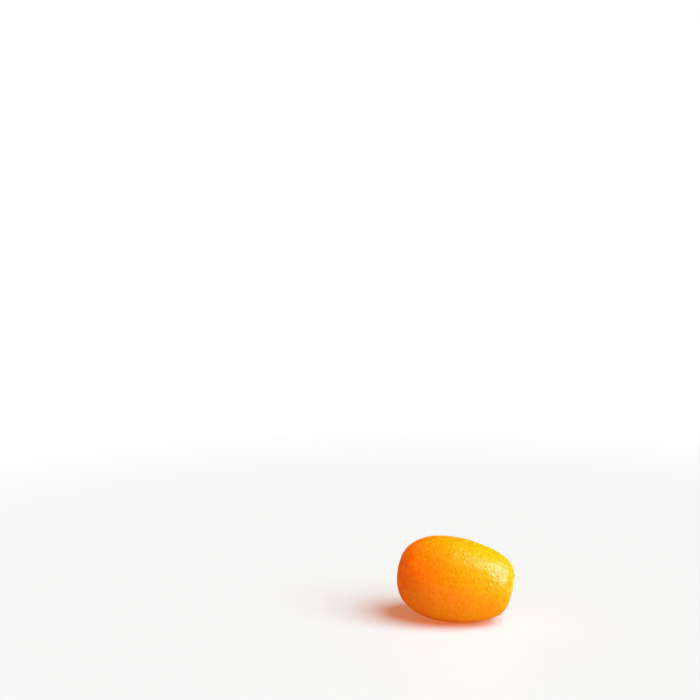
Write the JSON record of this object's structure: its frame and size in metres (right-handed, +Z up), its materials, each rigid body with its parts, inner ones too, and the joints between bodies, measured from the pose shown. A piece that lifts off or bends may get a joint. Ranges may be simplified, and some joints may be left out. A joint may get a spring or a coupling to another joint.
{
  "type": "kumquat",
  "caption": "Whole oval kumquat lying on its side, with a stem dimple at one end and a small stylar dent at the other.",
  "frame": {"origin": "on the surface that the fruit lies on, under the middle of its bounding box", "axes": "+X along the fruit towards the stem end, +Y across it, +Z up"},
  "size_m": [0.0296, 0.023, 0.0214],
  "materials": {
    "rind": "waxy citrus rind, orange with fine oil glands, soft gloss"
  },
  "bodies": {
    "root": {"kumquat": "rind"}
  },
  "joints": []
}
